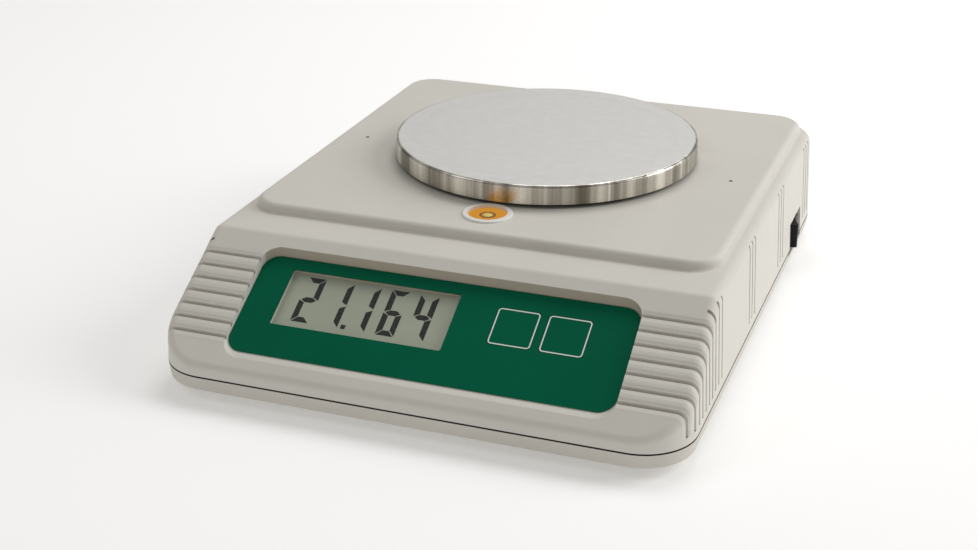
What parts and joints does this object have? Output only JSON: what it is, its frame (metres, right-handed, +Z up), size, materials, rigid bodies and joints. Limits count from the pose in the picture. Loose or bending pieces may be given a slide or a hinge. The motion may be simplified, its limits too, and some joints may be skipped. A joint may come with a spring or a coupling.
{
  "type": "counting scale",
  "caption": "Low bench counting scale: round steel pan on a bending load cell, wedge-shaped case with a recessed display panel, keys, side switch, level and levelling feet.",
  "frame": {"origin": "on the table under the middle of the case", "axes": "+Z up, display looks towards -Y, +X to the user's right"},
  "size_m": [0.212, 0.2656, 0.0633],
  "materials": {
    "case_plastic": "warm light grey moulded plastic with a fine even texture",
    "tray_plastic": "warm light grey moulded plastic, slightly darker than the case",
    "pan_steel": "satin stainless steel, brighter along the rim",
    "overlay_film": "deep green printed film with a soft gloss",
    "clear_lens": "clear thin window",
    "lcd_glass": "grey-green liquid crystal glass",
    "black_plastic": "black, slightly glossy",
    "grey_rubber": "soft grey rubber",
    "board_green": "green circuit board lacquer",
    "plated_steel": "zinc plated steel",
    "cream_plastic": "cream plastic",
    "support_plastic": "black filled plastic",
    "cell_aluminium": "milled aluminium",
    "ribbon_grey": "grey ribbon cable",
    "lead_insulation": "black lead insulation",
    "contact_brass": "bare brass",
    "level_white": "white gloss plastic",
    "level_amber": "amber spirit",
    "level_clear": "clear plastic window",
    "battery_wrap": "plain grey metal jacket",
    "foot_plastic": "black plastic",
    "foot_rubber": "black rubber"
  },
  "bodies": {
    "base": {"base_cover": "tray_plastic", "battery": "battery_wrap", "battery_snap": "black_plastic", "board_chips": "black_plastic", "board_connectors": "cream_plastic", "capacitors": "cell_aluminium", "dc_inlet": "black_plastic", "display_board": "board_green", "display_board_screws": "plated_steel", "display_lens": "clear_lens", "foot_inserts": "contact_brass", "front_overlay": "overlay_film", "housing_screws": "plated_steel", "inlet_nut": "plated_steel", "inlet_pin": "plated_steel", "internal_leads": "lead_insulation", "key_switches": "black_plastic", "lcd_frame": "black_plastic", "lcd_panel": "lcd_glass", "lcd_strips": "grey_rubber", "level_holder": "level_white", "level_liquid": "level_amber", "level_window": "level_clear", "load_cell": "cell_aluminium", "load_cell_screws": "plated_steel", "load_cell_spacer": "cell_aluminium", "main_board": "board_green", "main_board_screws": "plated_steel", "overload_stop": "plated_steel", "ribbon_cable": "ribbon_grey", "stop_nut": "plated_steel", "switch_body": "black_plastic", "switch_terminals": "contact_brass", "upper_housing": "case_plastic"},
    "pan_carrier": {"carrier_spacer": "cell_aluminium", "carrier_arm": "cell_aluminium", "carrier_post": "cell_aluminium", "pan_support": "support_plastic", "pan_pads": "grey_rubber", "carrier_screws": "plated_steel", "post_screws": "plated_steel"},
    "pan": {"weighing_pan": "pan_steel"},
    "key_left": {"key_left_pad": "overlay_film", "key_left_plunger": "cream_plastic"},
    "key_right": {"key_right_pad": "overlay_film", "key_right_plunger": "cream_plastic"},
    "rocker": {"rocker": "black_plastic"},
    "battery_door": {"battery_door": "tray_plastic"},
    "foot_front_left": {"foot_front_left_knob": "foot_plastic", "foot_front_left_stud": "plated_steel", "foot_front_left_pad": "foot_rubber"},
    "foot_front_right": {"foot_front_right_knob": "foot_plastic", "foot_front_right_stud": "plated_steel", "foot_front_right_pad": "foot_rubber"},
    "foot_back_left": {"foot_back_left_knob": "foot_plastic", "foot_back_left_stud": "plated_steel", "foot_back_left_pad": "foot_rubber"},
    "foot_back_right": {"foot_back_right_knob": "foot_plastic", "foot_back_right_stud": "plated_steel", "foot_back_right_pad": "foot_rubber"}
  },
  "joints": [
    {"name": "pan_deflection", "type": "slide", "parent": "base", "child": "pan_carrier", "axis": [0, 0, 1], "range_m": [-0.0004, 0], "stiffness_N_per_m": 20000, "springref_m": 0.0003, "deforming": ["load_cell"]},
    {"name": "pan_lift", "type": "slide", "parent": "pan_carrier", "child": "pan", "axis": [0, 0, 1], "range_m": [0, 0.03]},
    {"name": "key_left_press", "type": "slide", "parent": "base", "child": "key_left", "axis": [0, 0.485, -0.8745], "range_m": [0, 0.00035], "stiffness_N_per_m": 4500, "springref_m": -0.0001},
    {"name": "key_right_press", "type": "slide", "parent": "base", "child": "key_right", "axis": [0, 0.485, -0.8745], "range_m": [0, 0.00035], "stiffness_N_per_m": 4500, "springref_m": -0.0001},
    {"name": "rocker_tilt", "type": "hinge", "parent": "base", "child": "rocker", "pos_m": [0.1002, 0.0785, 0.01485], "axis": [0, 0, 1], "range_deg": [-24, 0]},
    {"name": "battery_door_hinge", "type": "hinge", "parent": "base", "child": "battery_door", "pos_m": [-0.068, -0.0327, 0.005], "axis": [-1, 0, 0], "range_deg": [0, 75]},
    {"name": "foot_front_left_height", "type": "slide", "parent": "base", "child": "foot_front_left", "axis": [0, 0, 1], "range_m": [-0.003, 0.0015]},
    {"name": "foot_front_right_height", "type": "slide", "parent": "base", "child": "foot_front_right", "axis": [0, 0, 1], "range_m": [-0.003, 0.0015]},
    {"name": "foot_back_left_height", "type": "slide", "parent": "base", "child": "foot_back_left", "axis": [0, 0, 1], "range_m": [-0.003, 0.0015]},
    {"name": "foot_back_right_height", "type": "slide", "parent": "base", "child": "foot_back_right", "axis": [0, 0, 1], "range_m": [-0.003, 0.0015]}
  ]
}
